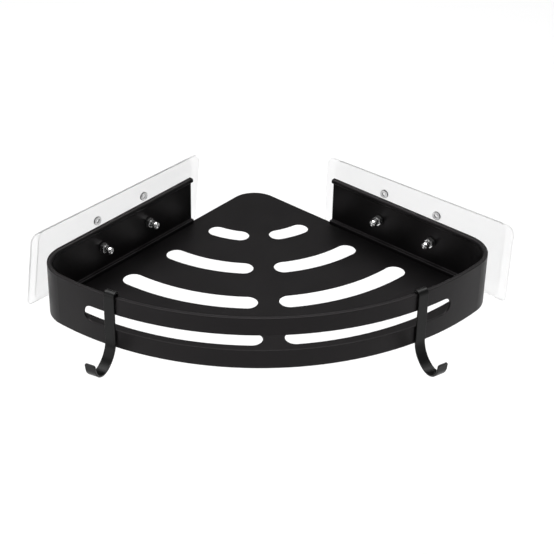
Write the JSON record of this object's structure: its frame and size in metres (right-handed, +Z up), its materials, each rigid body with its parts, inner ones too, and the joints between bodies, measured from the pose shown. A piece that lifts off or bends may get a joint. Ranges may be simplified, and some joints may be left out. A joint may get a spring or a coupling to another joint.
{
  "type": "corner shower caddy",
  "caption": "Corner shower basket with a slotted tray, bent strip rail, lift-off hooks and clear adhesive wall plates with studs and cap nuts.",
  "frame": {"origin": "where the outer faces of the rail's two wall legs would meet, on the tray's top face", "axes": "+Y points into the room's corner, +X to the right seen from the room, +Z up; the walls stand at 45 degrees to X and Y"},
  "size_m": [0.3627, 0.2482, 0.0779],
  "materials": {
    "rail_black": "satin black powder coat on aluminium",
    "tray_black": "satin black powder coat on aluminium",
    "hook_black": "satin black powder coat",
    "clear_plate": "clear moulded plastic, faintly frosted",
    "adhesive_film": "clear adhesive sheet",
    "stud_steel": "stainless",
    "spacer_plastic": "clear moulded plastic",
    "washer_black": "black nylon",
    "nut_chrome": "polished"
  },
  "bodies": {
    "basket": {"basket_rail": "rail_black", "slotted_tray": "tray_black", "plate_left": "clear_plate", "adhesive_left": "adhesive_film", "stud_left_rear": "stud_steel", "spacer_left_rear": "spacer_plastic", "stud_left_front": "stud_steel", "spacer_left_front": "spacer_plastic", "plate_right": "clear_plate", "adhesive_right": "adhesive_film", "stud_right_rear": "stud_steel", "spacer_right_rear": "spacer_plastic", "stud_right_front": "stud_steel", "spacer_right_front": "spacer_plastic"},
    "hook_left": {"hook_left": "hook_black"},
    "hook_right": {"hook_right": "hook_black"},
    "washer_left_rear": {"washer_left_rear": "washer_black"},
    "nut_left_rear": {"cap_nut_left_rear": "nut_chrome"},
    "washer_left_front": {"washer_left_front": "washer_black"},
    "nut_left_front": {"cap_nut_left_front": "nut_chrome"},
    "washer_right_rear": {"washer_right_rear": "washer_black"},
    "nut_right_rear": {"cap_nut_right_rear": "nut_chrome"},
    "washer_right_front": {"washer_right_front": "washer_black"},
    "nut_right_front": {"cap_nut_right_front": "nut_chrome"}
  },
  "joints": [
    {"name": "hook_left_lift", "type": "slide", "parent": "basket", "child": "hook_left", "axis": [0, 0, 1], "range_m": [0, 0.07]},
    {"name": "hook_right_lift", "type": "slide", "parent": "basket", "child": "hook_right", "axis": [0, 0, 1], "range_m": [0, 0.07]},
    {"name": "washer_left_rear_slide", "type": "slide", "parent": "basket", "child": "washer_left_rear", "axis": [0.7071, -0.7071, 0], "range_m": [0, 0.007]},
    {"name": "nut_left_rear_turn", "type": "hinge", "parent": "washer_left_rear", "child": "nut_left_rear", "pos_m": [-0.08747, -0.0903, 0.0213], "axis": [0.7071, -0.7071, 0], "range_deg": [0, 3600]},
    {"name": "washer_left_front_slide", "type": "slide", "parent": "basket", "child": "washer_left_front", "axis": [0.7071, -0.7071, 0], "range_m": [0, 0.007]},
    {"name": "nut_left_front_turn", "type": "hinge", "parent": "washer_left_front", "child": "nut_left_front", "pos_m": [-0.12304, -0.12587, 0.0213], "axis": [0.7071, -0.7071, 0], "range_deg": [0, 3600]},
    {"name": "washer_right_rear_slide", "type": "slide", "parent": "basket", "child": "washer_right_rear", "axis": [-0.7071, -0.7071, 0], "range_m": [0, 0.007]},
    {"name": "nut_right_rear_turn", "type": "hinge", "parent": "washer_right_rear", "child": "nut_right_rear", "pos_m": [0.09327, -0.0961, 0.0213], "axis": [-0.7071, -0.7071, 0], "range_deg": [0, 3600]},
    {"name": "washer_right_front_slide", "type": "slide", "parent": "basket", "child": "washer_right_front", "axis": [-0.7071, -0.7071, 0], "range_m": [0, 0.007]},
    {"name": "nut_right_front_turn", "type": "hinge", "parent": "washer_right_front", "child": "nut_right_front", "pos_m": [0.12884, -0.13166, 0.0213], "axis": [-0.7071, -0.7071, 0], "range_deg": [0, 3600]}
  ],
  "couplings": [
    {"joint": "nut_left_rear_turn", "follows": "washer_left_rear_slide", "rad_per_m": 8976},
    {"joint": "nut_left_front_turn", "follows": "washer_left_front_slide", "rad_per_m": 8976},
    {"joint": "nut_right_rear_turn", "follows": "washer_right_rear_slide", "rad_per_m": 8976},
    {"joint": "nut_right_front_turn", "follows": "washer_right_front_slide", "rad_per_m": 8976}
  ]
}
